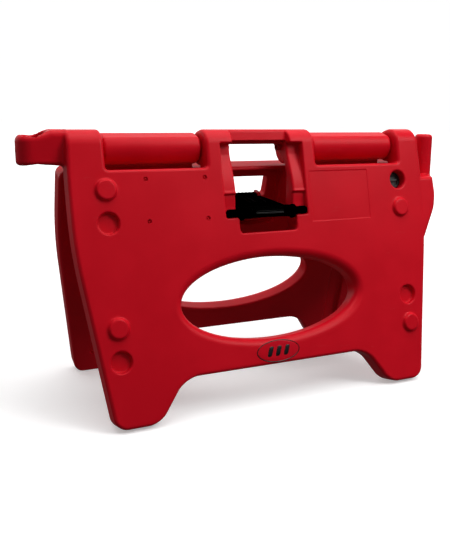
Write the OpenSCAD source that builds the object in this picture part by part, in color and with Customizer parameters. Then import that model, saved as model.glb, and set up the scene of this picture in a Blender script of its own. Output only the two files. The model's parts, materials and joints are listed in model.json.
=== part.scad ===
// Folding A-frame barrier. Two hollow leaves hang from one hinge axis and are held open by a link.
// X runs along the barrier, -Y is the front, Z is up, and the origin is on the ground under the hinge.

/* [Leaves] */
// Width of a leaf across its straight upper sides
leaf_w = 908; // [820:1:1060]
// Hinge axis to the end of a foot, along the leaf
leaf_len = 600; // [570:1:720]
// Lean of each leaf from upright when the barrier stands open, in degrees
lean = 15.5; // [14:0.1:17]
// Hinge axis to the outer face of a leaf
face_n = 51; // [50:0.5:62]
// Hinge axis to the inner face of a leaf
back_n = 3; // [2:0.5:4]
// Moulded wall
wall = 4; // [3:0.1:5]
// Height trimmed off the lowest edge of each foot, so that it stands flat
foot_trim = 4.5; // [3:0.5:6]

/* [Legs] */
// How far each foot stands in from the side of the leaf
foot_inset = 54; // [44:1:84]
// Width of a foot
foot_w = 98; // [80:1:120]
// Width of a leg where it meets the beam
leg_w = 217; // [200:1:250]
// Height of the legs below the beam
leg_h = 90; // [70:1:105]
// Hinge axis to where the straight sides begin to taper
taper_s = 215; // [200:1:260]
// Radius of the outer foot corners
foot_r = 26; // [15:1:35]
// Depth of the stiffening channel on the inside of each leg
channel_depth = 11; // [6:1:16]

/* [Oval opening] */
// Half width of the opening
oval_a = 228; // [190:1:232]
// Plain band between the hand opening and the oval one
oval_over = 57; // [52:1:75]
// Depth of the beam under the oval opening
oval_under = 61; // [56:1:80]
// Width of the soft bevel round the opening
oval_bevel = 22; // [10:1:24]

/* [Hinge] */
// Radius of the front leaf's cheeks and middle knuckle
knuckle_r = 43; // [41:0.5:48]
// Radius of the rear leaf's barrels
barrel_r = 36; // [30:0.5:38]
// Width of a cheek at the end of the hinge
cheek_w = 77; // [66:1:104]
// Half width of the middle knuckle
mid_half = 141; // [135:1:160]
// Gap between a barrel and its neighbours
side_gap = 3.5; // [2:0.1:6]
// Hinge axis to the ledges beside the front leaf's knuckles
ledge_s = 57; // [54:0.5:66]
// Hinge axis to the top of the rear leaf between its barrels
rear_ledge_s = 49; // [47:0.5:52]
// Diameter of the hinge rods
rod_d = 16; // [12:0.5:20]
// Radial running clearance of rods and pins
run_fit = 0.06; // [0.03:0.01:0.1]

/* [Handle] */
// Half width of the hand opening in the front leaf
grip_half = 74; // [68:1:80]
// Hinge axis to the lower edge of the hand opening
grip_s = 204; // [198:1:212]
// Hinge axis to the underside of the handle bar, upwards
grip_top = 8; // [5:0.5:12]
// Hinge axis to the front of the handle bar
bar_n = 32; // [26:1:38]
// Size of the gussets in the upper corners of the hand opening
gusset = 30; // [20:1:34]
// Half width of the rear leaf's hand opening
rear_grip_half = 62; // [56:1:66]
// Hinge axis to the underside of the rear hand bar
rear_bar_s = 78; // [74:1:84]

/* [Lock link] */
// Hinge axis to the link's pin, along the rear leaf
pin_s = 132; // [129:0.5:136]
// Hinge plane of the rear leaf to the link's pin
pin_n = 10; // [9:0.5:11]
// Hinge axis to the seat of the link's bar, along the front leaf
seat_s = 158; // [154:0.5:162]
// Hinge plane of the front leaf to the seated bar
seat_n = 47; // [45:0.5:50]
// Angle that the link turns through for each degree of folding
link_ratio = 1.87; // [1.84:0.01:1.9]
// Diameter of the bar's stub ends
stub_d = 19; // [15:0.5:20]
// Half length of the bar over its stub ends
stub_half = 105; // [98:0.5:110]
// Diameter of the bar between its collars
bar_d = 26; // [20:0.5:28]
// Diameter of the link's pin
pin_d = 10; // [8:0.5:12]
// Half length of the link's sleeve
sleeve_half = 36; // [30:0.5:40]
// Thickness of the ears on the rear leaf
ear_t = 10; // [8:0.5:12]
// Clearance of the bar in its notches and of the sleeve between the ears
notch_gap = 1; // [0.6:0.1:1.5]

/* [Connectors] */
// Tip of the connector arm beyond the side of the leaf
arm_reach = 91; // [84:1:140]
// Half depth of the arm
arm_half = 31; // [29:0.5:36]
// Half height of the arm at its tip
arm_h = 32; // [28:1:36]
// Middle of the arm's hole beyond the side of the leaf
hole_reach = 53; // [48:1:100]
// Diameter of the arm's hole
hole_d = 50; // [48:0.5:52]
// Middle of the peg beyond the side of the leaf
peg_reach = 57; // [52:1:100]
// Diameter of the peg
peg_d = 46.5; // [44:0.5:47.5]
// Top of the peg above the hinge axis
peg_top = 29; // [24:1:34]
// Shoulder under the peg, below the hinge axis
peg_base = 75; // [68:1:82]
// Radius of the swelling that carries the peg
swell_r = 34; // [30:1:40]

/* [Face details] */
// Middle of the boss columns in from the side of the leaf
boss_in = 77; // [70:1:90]
// Diameter of the stacking bosses
boss_d = 47; // [40:1:50]
// Height of the stacking bosses
boss_h = 8; // [5:0.5:10]
// Diameter of the stacking recesses
recess_d = 53; // [48:1:56]
// Depth of the stacking recesses
recess_depth = 9; // [6:0.5:12]
// Diameter of the filler recess
filler_d = 45; // [42:1:50]
// Depth of the filler recess
filler_depth = 27; // [24:1:30]
// Diameter of the filler hole
filler_hole_d = 30; // [26:1:34]

/* [Hidden] */
$fn = 64;

red = [0.69, 0.06, 0.11];
black = [0.06, 0.06, 0.065];
steel = [0.62, 0.63, 0.65];

half = leaf_w / 2;
foot_out = half - foot_inset;
foot_in = foot_out - foot_w;
leg_in = half - leg_w;
beam_s = leaf_len - leg_h;
oval_top = grip_s + oval_over;
oval_bottom = beam_s - oval_under;
oval_s = (oval_top + oval_bottom) / 2;
oval_b = (oval_bottom - oval_top) / 2;
cheek_in = half - cheek_w;
boss_u = half - boss_in;
arm_x = half + arm_reach;
hole_x = half + hole_reach;
peg_x = half + peg_reach;
hinge_z = leaf_len * cos(lean) - back_n * sin(lean) - foot_trim;
overlap = 12;                        // how far one part of a moulding runs into the next
far = 200;                           // longer than any cut is deep
stub_r = stub_d / 2;
rod_r = rod_d / 2;
bore_r = rod_r + run_fit;
sleeve_r = pin_d / 2 + 6;
recess_r = recess_d / 2;
strip_out = stub_half + notch_gap;   // outer side of the notches beside the hand opening

// Stacking bosses and recesses: [side seen from the front of its leaf, distance from the hinge axis, kind]
upper_s = 95;
upper_s2 = 165;
lower_s = leaf_len - 214;
lower_s2 = leaf_len - 143;
bosses = [[-1, upper_s], [1, upper_s2], [-1, lower_s], [1, lower_s2]];
recesses = [[-1, upper_s2], [-1, lower_s2], [1, lower_s]];

// Four shallow sign points and the printed-label panel, each [left, right, top, bottom]
sign_box = [-(boss_u - 89), -(mid_half + 10), 75, 166];
label_box = [strip_out + 12, boss_u - 93, 68, 187];
sign_r = 3;
label_depth = 0.8;

// Badge on the beam
badge_at = [-6, -(beam_s - 30)];
badge_a = 55;
badge_b = 25;
badge_pocket = 1.6;
badge_t = 3;

// ---- plane geometry ----

function unit(v) = v / norm(v);
function left_normal(a, b) = let (d = unit(b - a)) [-d[1], d[0]];

// One corner of a closed outline, rounded with radius r by turning from one tangent point to the other
function rounded(a, b, c, r) =
    let (u = unit(a - b), v = unit(c - b), h = acos(max(-1, min(1, u * v))) / 2, turn = 180 - 2 * h,
         middle = b + unit(u + v) * r / sin(h),
         s = b + u * r / tan(h) - middle,
         e = b + v * r / tan(h) - middle,
         steps = max(2, ceil(turn / 12)))
    [for (i = [0:steps]) middle + (sin(turn * (1 - i / steps)) * s + sin(turn * i / steps) * e) / sin(turn)];

function flat(p) = [p[0], p[1]];
function smooth_outline(pts) =
    let (n = len(pts))
    [for (i = [0:n - 1]) each (pts[i][2] <= 0 ? [flat(pts[i])]
        : rounded(flat(pts[(i + n - 1) % n]), flat(pts[i]), flat(pts[(i + 1) % n]), pts[i][2]))];

// The same corners moved inwards by g; the outline runs counter-clockwise
function inset(pts, g) =
    let (n = len(pts))
    [for (i = [0:n - 1])
        let (a = flat(pts[(i + n - 1) % n]), b = flat(pts[i]), c = flat(pts[(i + 1) % n]),
             n1 = left_normal(a, b), n2 = left_normal(b, c), out = cross(b - a, c - b) > 0,
             p = b + (n1 + n2) * g / (1 + n1 * n2))
        [p[0], p[1], pts[i][2] <= 0 ? 0 : max(1, pts[i][2] + (out ? -g : g))]];

function ellipse_points(a, b, steps) =
    [for (i = [0:steps - 1]) let (t = 360 * i / steps) [a * cos(t), b * sin(t)]];

// ---- places ----

// A leaf is drawn hanging straight down from the hinge axis, facing -Y, then leant into place
module front_place() translate([0, 0, hinge_z]) rotate([-lean, 0, 0]) children();
module rear_place() translate([0, 0, hinge_z]) rotate([lean, 0, 0]) rotate([0, 0, 180]) children();

// Extrudes a flat shape of a hanging leaf from depth n0 out to depth n1
module slab(n0, n1) translate([0, -n0, 0]) rotate([90, 0, 0]) linear_extrude(n1 - n0) children();
// A round plug, hole or boss square to the leaf
module disc(u, s, r, n0, n1) translate([u, -n0, -s]) rotate([90, 0, 0]) cylinder(h = n1 - n0, r = r);
// A cylinder along X
module along_x(x0, x1, r) translate([x0, 0, 0]) rotate([0, 90, 0]) cylinder(h = x1 - x0, r = r);
// Extrudes a [y, z] outline along X
module profile_x(x0, x1) translate([x0, 0, 0]) rotate([90, 0, 90]) linear_extrude(x1 - x0) children();

// ---- what both leaves share ----

// In these modules g is how far the surface lies inside the moulding: 0 for the outside, wall for the tank

function leaf_corners(top_s, top_r) = [
    [-foot_out, -leaf_len, foot_r], [-foot_in, -leaf_len, foot_r - 4],
    [-leg_in, -beam_s, foot_r], [leg_in, -beam_s, foot_r],
    [foot_in, -leaf_len, foot_r - 4], [foot_out, -leaf_len, foot_r],
    [half, -taper_s, 400], [half, -top_s, top_r], [-half, -top_s, top_r], [-half, -taper_s, 400]];

module panel(top_s, top_r, g)
    slab(back_n + g, face_n - g) polygon(smooth_outline(inset(leaf_corners(top_s, top_r), g)));

// Everything lower than g above the ground, for a hanging leaf that is leant into place afterwards
module ground(g) rotate([lean, 0, 0]) translate([-leaf_w, -leaf_w, -hinge_z - far])
    cube([2 * leaf_w, 2 * leaf_w, far + g]);

// A stretch of hinge knuckle: round over the axis and flush with the leaf's outer face
module knuckle(x0, x1, r, g) {
    for (n = [0, face_n - r]) translate([0, -n, 0]) along_x(x0 + g, x1 - g, r - g);
    translate([x0 + g, -(face_n - r), -(r - g)]) cube([x1 - x0 - 2 * g, face_n - r, 2 * (r - g)]);
    translate([x0 + g, -(face_n - g), -(ledge_s + overlap)])
        cube([x1 - x0 - 2 * g, face_n - back_n - 2 * g, ledge_s + overlap]);
}

// The channel inside each leg leans in a little towards its top
channel_w = 44;
channel_r = 12;
channel_lean = 10;
channel_out = foot_out - 28;
channel_end = leaf_len - 55;
channel_top = oval_s - 10;
channel_corners = [
    [channel_out - channel_w, -channel_end, channel_r],
    [channel_out, -channel_end, channel_r],
    [channel_out - channel_lean, -channel_top, channel_r],
    [channel_out - channel_w - channel_lean, -channel_top, channel_r]];

module shared_cuts(g) {
    // oval opening with a soft bevel on the outer face
    translate([0, 0, -oval_s]) slab(back_n - far, face_n + far)
        polygon(ellipse_points(oval_a + g, oval_b + g, 72));
    bevel_n = face_n - oval_bevel * 0.7;
    translate([0, 0, -oval_s]) translate([0, -bevel_n + g, 0]) rotate([90, 0, 0])
        linear_extrude(face_n - bevel_n + 1, slices = 1,
                       scale = [1 + oval_bevel / (oval_a + g), 1 + oval_bevel / (oval_b + g)])
            polygon(ellipse_points(oval_a + g, oval_b + g, 72));
    for (r = recesses) disc(r[0] * boss_u, r[1], recess_r + g, face_n - recess_depth - g, face_n + 1);
    disc(boss_u, upper_s, filler_d / 2 + g, face_n - filler_depth - g, face_n + 1);
    for (m = [0, 1]) mirror([m, 0, 0])
        slab(back_n - 1, back_n + channel_depth + g) polygon(smooth_outline(inset(channel_corners, -g)));
}

// Small marks that don't reach the tank, and the filler hole that does
module shared_marks() {
    for (u = [sign_box[0], sign_box[1]], s = [sign_box[2], sign_box[3]])
        disc(u, s, sign_r, face_n - 2.5, face_n + 1);
    disc(boss_u, upper_s, filler_hole_d / 2 + run_fit, back_n + wall + 1, face_n);
}

module shared_bosses() for (b = bosses) disc(b[0] * boss_u, b[1], boss_d / 2, face_n - 1, face_n + boss_h);

// ---- the link's travel, in the plane across the barrier ----

function on_front(n, s) = [-s * sin(lean) - n * cos(lean), -s * cos(lean) + n * sin(lean)];
function on_rear(n, s) = [s * sin(lean) + n * cos(lean), -s * cos(lean) + n * sin(lean)];
pin_at = on_rear(pin_n, pin_s);
seat_at = on_front(seat_n, seat_s);
link_len = norm(seat_at - pin_at);
link_droop = -asin((seat_at[1] - pin_at[1]) / link_len);
fold_angle = 2 * lean;
link_angle = link_ratio * fold_angle;

// Where the bar's middle ends up on the front leaf, [depth, distance down], when the barrier is folded flat
folded_up = link_angle - link_droop;
folded_bar = pin_at + link_len * [-cos(folded_up), sin(folded_up)];
parked_n = -folded_bar[0] * cos(lean) - folded_bar[1] * sin(lean);
parked_s = folded_bar[0] * sin(lean) - folded_bar[1] * cos(lean);

// ---- front leaf ----

// Side view of a notch, as [depth, height]: a deep pocket above, a crowned cam, a ridge and a hollow seat below
ridge_s = 113;
ridge_n = 45;
pocket_top = -(parked_s - stub_r - notch_gap);
pocket_n = parked_n - stub_r - 2 * notch_gap;
cam_top = parked_s + stub_r + 4;
hollow_n = seat_n - stub_r - notch_gap;
function notch_points(g) = concat(
    [[face_n + far, pocket_top + g], [pocket_n - g, pocket_top + g], [pocket_n - g, -cam_top]],
    [for (i = [1:8]) let (k = i / 8) [pocket_n + (ridge_n - pocket_n) * sin(90 * k) - g,
                                     -cam_top - (ridge_s - cam_top) * k]],
    [for (i = [1:8]) let (k = i / 8) [ridge_n - (ridge_n - hollow_n) * (1 - cos(180 * k)) / 2 - g,
                                     -ridge_s - (seat_s - stub_r - ridge_s) * k]],
    [for (i = [0:6]) let (a = 180 + 15 * i, r = stub_r + notch_gap + g)
        [seat_n + r * cos(a), -seat_s + r * sin(a)]],
    [[face_n + far, -seat_s - stub_r - notch_gap - g]]);

module notch(g) for (m = [0, 1]) mirror([m, 0, 0])
    profile_x(grip_half - 1, strip_out + g) mirror([1, 0]) polygon(notch_points(g));

grip_r = 9;
edge_r = 4;
grip_corners = [[-grip_half, -grip_s, grip_r], [grip_half, -grip_s, grip_r],
                [grip_half, grip_top, edge_r], [-grip_half, grip_top, edge_r]];
gusset_corners = [[-grip_half, -grip_s, grip_r], [grip_half, -grip_s, grip_r],
                  [grip_half, grip_top - gusset, edge_r], [grip_half - gusset, grip_top, edge_r],
                  [gusset - grip_half, grip_top, edge_r], [-grip_half, grip_top - gusset, edge_r]];
// The gussets reach from the back of the leaf to this depth
gusset_n = 14;

module hand_opening(g) {
    slab(gusset_n - g, face_n + far) polygon(smooth_outline(inset(grip_corners, -g)));
    slab(-far, gusset_n + 1) polygon(smooth_outline(inset(gusset_corners, -g)));
    translate([-grip_half - g, -face_n - far, 0])
        cube([2 * (grip_half + g), face_n + far - bar_n + g, knuckle_r + far]);
}

// Connector arm on the left, upright when the barrier stands open
arm_root = knuckle_r - 1;
scoop_end = hole_x - hole_d / 2;
scoop_r = 22;
module arm(g) {
    low_r = 9;
    top_r = 24;
    ends = [[-arm_half, -arm_h, low_r], [arm_half, -arm_h, low_r],
            [arm_half, arm_root, top_r], [-arm_half, arm_root, top_r]];
    profile_x(-arm_x + g, -half + overlap) polygon(smooth_outline(inset(ends, g)));
}
module arm_cuts(g) {
    translate([-hole_x, 0, -far]) cylinder(h = 2 * far, r = hole_d / 2 + g);
    // scoop that lowers the arm round its hole
    drop = arm_root - arm_h;
    rise = [for (i = [0:6]) [-scoop_end + scoop_r * (1 - cos(15 * i)), arm_h + drop * (1 - cos(15 * i))]];
    translate([0, far, 0]) rotate([90, 0, 0]) linear_extrude(2 * far) translate([g, -g])
        polygon(concat([[-arm_x - far, arm_h]], rise,
                       [[-scoop_end + scoop_r, arm_root + far], [-arm_x - far, arm_root + far]]));
}

// Swelling on the right that carries the peg: hollow, just inside the leaf's faces, and flat under the peg
swell_h = 50;
swell_low = 206;
swell_step = 1;
swell_depth = 26;
module swelling(g) difference() {
    hull() {
        translate([peg_x, 0, -peg_base - swell_h])
            cylinder(h = swell_h, r1 = swell_r - g, r2 = peg_d / 2 + 3 - g, $fn = 32);
        rotate([-lean, 0, 0]) translate([half - 1, -face_n + g + swell_step, -swell_low + g])
            cube([1, face_n - back_n - 2 * (g + swell_step), swell_low - peg_base + face_n]);
        rotate([-lean, 0, 0]) translate([half, -face_n + g + swell_step, -peg_base - swell_h])
            cube([swell_depth - g, swell_depth, swell_h]);
    }
    translate([0, -far, -peg_base - g]) cube([2 * half, 2 * far, far]);
}
// Passage that joins the swelling's hollow to the leaf's tank
module swelling_passage() rotate([-lean, 0, 0])
    translate([half - overlap, -face_n + 2 * wall + overlap, -swell_low + 2 * overlap])
        cube([overlap + wall, face_n - back_n - 4 * wall - overlap, swell_h]);
module peg(g) {
    r = peg_d / 2 - g;
    nose = 10;
    translate([peg_x, 0, 0]) rotate_extrude() polygon(concat(
        [[0, -peg_base - overlap], [r, -peg_base - overlap]],
        [for (i = [0:6]) [r - nose + nose * cos(15 * i), peg_top - g - nose + nose * sin(15 * i)]],
        [[0, peg_top - g]]));
}

module front_shape(g) {
    panel(ledge_s, 6, g);
    for (m = [0, 1]) mirror([m, 0, 0]) knuckle(cheek_in, half, knuckle_r, g);
    knuckle(-mid_half, mid_half, knuckle_r, g);
}

module hinge_bore(x0, x1, g) along_x(x0, x1, bore_r + g);

module label_panel() slab(face_n - label_depth, face_n + 1) polygon(smooth_outline([
    [label_box[0], -label_box[3], 5], [label_box[1], -label_box[3], 5],
    [label_box[1], -label_box[2], 5], [label_box[0], -label_box[2], 5]]));

module badge_shape(n0, n1, gap)
    translate([badge_at[0], 0, badge_at[1]]) slab(n0, n1)
        polygon(ellipse_points(badge_a + gap, badge_b + gap, 48));

module front_tank() difference() {
    union() {
        front_place() difference() {
            front_shape(wall);
            shared_cuts(wall);
            hand_opening(wall);
            notch(wall);
            ground(wall);
        }
        translate([0, 0, hinge_z]) {
            difference() {
                arm(wall);
                arm_cuts(wall);
            }
            swelling(wall);
            swelling_passage();
            peg(wall);
        }
    }
    translate([0, 0, hinge_z]) hinge_bore(-arm_x - 1, half, wall);
}

module front_leaf() color(red) difference() {
    union() {
        front_place() difference() {
            union() {
                front_shape(0);
                shared_bosses();
            }
            shared_cuts(0);
            shared_marks();
            hand_opening(0);
            notch(0);
            badge_shape(face_n - badge_pocket, face_n + 1, 0.3);
            label_panel();
            ground(0);
        }
        translate([0, 0, hinge_z]) difference() {
            union() {
                arm(0);
                swelling(0);
                peg(0);
            }
            arm_cuts(0);
        }
    }
    front_tank();
    translate([0, 0, hinge_z]) {
        hinge_bore(-arm_x - 1, -grip_half + gusset, 0);
        hinge_bore(grip_half - gusset, rod_end + rod_slack, 0);
    }
}

// ---- rear leaf ----

barrel_in = mid_half + side_gap;
barrel_out = cheek_in - side_gap;
pocket_floor = pin_n + sleeve_r + 1.5;
pocket_half = 98;
pocket_end = grip_s - 1;
pocket_start = 60;
pocket_corners = [[-pocket_half, -pocket_end, 12], [pocket_half, -pocket_end, 12],
                  [pocket_half, -pocket_start, 8], [-pocket_half, -pocket_start, 8]];
rear_grip_h = 50;
rear_grip_r = 7;
rear_grip_end = rear_bar_s + rear_grip_h;
rear_grip_corners = [
    [-rear_grip_half, -rear_grip_end, rear_grip_r], [rear_grip_half, -rear_grip_end, rear_grip_r],
    [rear_grip_half, -rear_bar_s, rear_grip_r], [-rear_grip_half, -rear_bar_s, rear_grip_r]];

module rear_shape(g) {
    panel(rear_ledge_s, 18, g);
    for (m = [0, 1]) mirror([m, 0, 0]) knuckle(barrel_in, barrel_out, barrel_r, g);
}

module rear_cuts(g) {
    slab(back_n - 1, pocket_floor + g) polygon(smooth_outline(inset(pocket_corners, -g)));
    slab(-far, face_n + far) polygon(smooth_outline(inset(rear_grip_corners, -g)));
}

// Ears that carry the link's pin, standing on the floor of the pocket
module ears() for (m = [0, 1]) mirror([m, 0, 0]) {
    translate([0, -pin_n, -pin_s])
        along_x(sleeve_half + notch_gap, sleeve_half + notch_gap + ear_t, sleeve_r + 1);
    translate([sleeve_half + notch_gap, -pocket_floor - 2, -pin_s - sleeve_r - 1])
        cube([ear_t, pocket_floor + 2 - pin_n, 2 * sleeve_r + 2]);
}

module rear_leaf() color(red) difference() {
    rear_place() difference() {
        union() {
            difference() {
                union() {
                    rear_shape(0);
                    shared_bosses();
                }
                shared_cuts(0);
                shared_marks();
                rear_cuts(0);
                ground(0);
            }
            ears();
        }
        difference() {
            rear_shape(wall);
            shared_cuts(wall);
            rear_cuts(wall);
            hinge_bore(-half, half, wall);
            ground(wall);
        }
        translate([0, -pin_n, -pin_s]) along_x(-grip_half, grip_half, pin_d / 2 + run_fit);
    }
    translate([0, 0, hinge_z]) hinge_bore(-half, half, 0);
}

// ---- hinge rods and their plugs ----

rod_end = half - wall - 8;
rod_slack = 1;
plug_fit = 0.01;
plug_l = 20;
rod_start = grip_half + plug_l / 2 + rod_slack;
arm_plug_l = 10;
// The rod bore's mouths either side of the arm's hole, each plug sitting a little back from its mouth
bore_mouth = hole_x - hole_d / 2 - 3;
tip_mouth = hole_x + hole_d / 2 + 2;

module left_hinge_rod() color(steel) translate([0, 0, hinge_z])
    along_x(-bore_mouth + arm_plug_l + rod_slack, -rod_start, rod_r);
module right_hinge_rod() color(steel) translate([0, 0, hinge_z]) along_x(rod_start, rod_end, rod_r);

module rod_plug() translate([0, 0, hinge_z]) difference() {
    along_x(grip_half - plug_l / 2, grip_half + plug_l / 2, bore_r - plug_fit);
    along_x(grip_half - plug_l / 2 - 1, grip_half, bore_r - 2);
}
module left_rod_plug() color(red) mirror([1, 0, 0]) rod_plug();
module right_rod_plug() color(red) rod_plug();
module arm_bore_plug() color(red) translate([0, 0, hinge_z])
    along_x(-bore_mouth, -bore_mouth + arm_plug_l, bore_r - plug_fit);
module arm_tip_plug() color(red) translate([0, 0, hinge_z])
    along_x(-arm_x + 0.5, -tip_mouth, bore_r - plug_fit);

// ---- lock link ----

plate_t = 9;
bar_half = grip_half - 3;
collar_d = bar_d + 4;
grip_pad_half = 36;
rib_x = [44, 50, 56];

module link_place() translate([0, pin_at[0], hinge_z + pin_at[1]]) rotate([link_droop, 0, 0]) children();

plate_neck = sleeve_r + 7;
plate_waist = sleeve_half + 10;
right_edge = [[bar_half, -link_len, 0], [bar_half, -0.8 * link_len, 12], [plate_waist, -0.5 * link_len, 30],
              [sleeve_half, -plate_neck, 4], [sleeve_half, 0, 0]];
left_edge = [for (i = [len(right_edge) - 1:-1:0]) [-right_edge[i][0], right_edge[i][1], right_edge[i][2]]];
plate_corners = concat(left_edge, right_edge);

module lock_link() color(black) link_place() difference() {
    union() {
        translate([0, -link_len, 0]) {
            along_x(-stub_half, stub_half, stub_r);
            along_x(-bar_half, bar_half, bar_d / 2);
            for (m = [0, 1]) mirror([m, 0, 0]) along_x(bar_half - 7, bar_half, collar_d / 2);
            // grip pad and ribs on the front of the bar
            translate([-grip_pad_half, -bar_d / 2 - 1.5, 2]) cube([2 * grip_pad_half, 6, 8]);
            for (m = [0, 1], x = rib_x) mirror([m, 0, 0]) along_x(x, x + 2, bar_d / 2 + 1);
        }
        translate([0, 0, -plate_t / 2]) linear_extrude(plate_t) polygon(smooth_outline(plate_corners));
        along_x(-sleeve_half, sleeve_half, sleeve_r);
    }
    along_x(-sleeve_half - 1, sleeve_half + 1, pin_d / 2 + run_fit);
}

module link_pin() color(steel) link_place()
    along_x(-sleeve_half - notch_gap - ear_t, sleeve_half + notch_gap + ear_t, pin_d / 2);

// ---- bungs and badge ----

filler_floor = face_n - filler_depth;
seal_t = 2;
bung_r = filler_d / 2 - 2;
bung_t = 6;
stem_l = 12;

module bung() color(black) translate([boss_u, 0, -upper_s]) rotate([90, 0, 0]) difference() {
    union() {
        translate([0, 0, filler_floor + seal_t]) cylinder(h = bung_t, r = bung_r);
        translate([0, 0, filler_floor - stem_l]) cylinder(h = stem_l + seal_t + 1, r = filler_hole_d / 2);
    }
    // grip slots either side of a turning bar
    for (m = [0, 1]) mirror([0, m, 0]) translate([-bung_r * 0.6, 3, filler_floor + seal_t + bung_t - 3])
        cube([bung_r * 1.2, 9, 4]);
}
module seal() color(black) translate([boss_u, 0, -upper_s]) rotate([90, 0, 0]) translate([0, 0, filler_floor])
    difference() {
        cylinder(h = seal_t, r = bung_r - 0.5);
        translate([0, 0, -1]) cylinder(h = seal_t + 2, r = filler_hole_d / 2 + 2 * run_fit);
    }
module front_bung() front_place() bung();
module front_bung_seal() front_place() seal();
module rear_bung() rear_place() bung();
module rear_bung_seal() rear_place() seal();

module badge() color([0.72, 0.05, 0.1]) front_place()
    badge_shape(face_n - badge_pocket, face_n - badge_pocket + badge_t, 0);

front_leaf();
rear_leaf();
left_hinge_rod();
right_hinge_rod();
left_rod_plug();
right_rod_plug();
arm_bore_plug();
arm_tip_plug();
lock_link();
link_pin();
front_bung();
front_bung_seal();
rear_bung();
rear_bung_seal();
badge();
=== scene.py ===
import json
import math

import bpy
import numpy as np
from mathutils import Matrix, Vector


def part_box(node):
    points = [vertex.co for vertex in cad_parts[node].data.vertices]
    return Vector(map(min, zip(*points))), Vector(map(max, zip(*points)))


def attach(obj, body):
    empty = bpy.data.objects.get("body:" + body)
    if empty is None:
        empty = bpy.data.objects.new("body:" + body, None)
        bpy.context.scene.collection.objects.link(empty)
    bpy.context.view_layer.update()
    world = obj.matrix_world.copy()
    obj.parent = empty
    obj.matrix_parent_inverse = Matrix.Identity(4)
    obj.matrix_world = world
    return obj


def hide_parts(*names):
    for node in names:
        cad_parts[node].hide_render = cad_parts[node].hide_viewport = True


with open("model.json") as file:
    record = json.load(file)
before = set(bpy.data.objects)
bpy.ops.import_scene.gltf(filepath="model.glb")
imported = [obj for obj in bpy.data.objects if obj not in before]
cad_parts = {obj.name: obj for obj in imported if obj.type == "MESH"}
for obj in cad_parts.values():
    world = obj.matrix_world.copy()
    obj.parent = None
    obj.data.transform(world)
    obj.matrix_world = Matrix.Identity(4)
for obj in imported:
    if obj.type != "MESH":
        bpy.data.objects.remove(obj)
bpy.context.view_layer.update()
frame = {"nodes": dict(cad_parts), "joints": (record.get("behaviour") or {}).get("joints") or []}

# The hinge line and the lean of the leaves come from the frame. Shapes are drawn in millimetres on a leaf
# that hangs straight down: u runs along the barrier, n out of the leaf's face, s down from the hinge line.
joints = {joint["name"]: joint for joint in frame["joints"]}
hingeZ = joints["leaf_fold"]["pos_m"][2] * 1000
lean = math.radians(max(joints["leaf_fold"]["range_deg"]) / 2)
linkPin = [part * 1000 for part in joints["link_swing"]["pos_m"]]
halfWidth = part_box("rear_leaf")[1][0] * 1000
print("frame loaded, hinge at", round(hingeZ, 1), "mm")


# Shapes are distance fields, negative inside the material


def roundMax(a, b, radius):
    # Overlap of two shapes, its edge an arc: the length of both parts within r of the surface, less r
    near = np.hypot(np.maximum(a + radius, 0), np.maximum(b + radius, 0))
    return np.minimum(-radius, np.maximum(a, b)) + near


def roundMin(a, b, radius):
    # Union of two shapes with a fillet of that radius in the corner
    return -roundMax(-a, -b, radius)


def bendMax(a, b, width):
    # Overlap of two nearly parallel faces, eased over a width: the larger one plus a parabola
    near = np.maximum(width - np.abs(a - b), 0) / width
    return np.maximum(a, b) + near * near * width / 4


def ease(low, high, value):
    # Smooth step: 3t^2 - 2t^3 of the share t between low and high
    t = np.clip((value - low) / (high - low), 0, 1)
    return t * t * (3 - 2 * t)


def upright(n, s):
    # A leaf point in the standing barrier, as y and z from the hinge line: turned by the lean
    return -s * math.sin(lean) - n * math.cos(lean), -s * math.cos(lean) + n * math.sin(lean)


def halfPlane(a, b, start, end):
    # Signed distance from the line through two points, positive on its right
    run, rise = end[0] - start[0], end[1] - start[1]
    return ((a - start[0]) * rise - (b - start[1]) * run) / math.hypot(run, rise)


# Meshes come from fields and grids, in millimetres from the middle of the hinge line


def gridLines(low, high, step, fine):
    # Positions from low to high, a coarse step apart and closer inside each fine band [from, to, step]
    at, stops = low, [low]
    while at < high:
        pace = min([band[2] for band in fine if band[0] - step <= at < band[1]], default=step)
        at += pace
        stops.append(at)
    return np.array(stops)


def slopeOf(field, points, reach=0.05):
    # The field and its gradient at scattered points, by differences over a short reach
    here = field(*points.T)
    steps = [field(*(points + reach * axis).T) - here for axis in np.eye(3)]
    return here, np.stack(steps, 1) / reach


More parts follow.
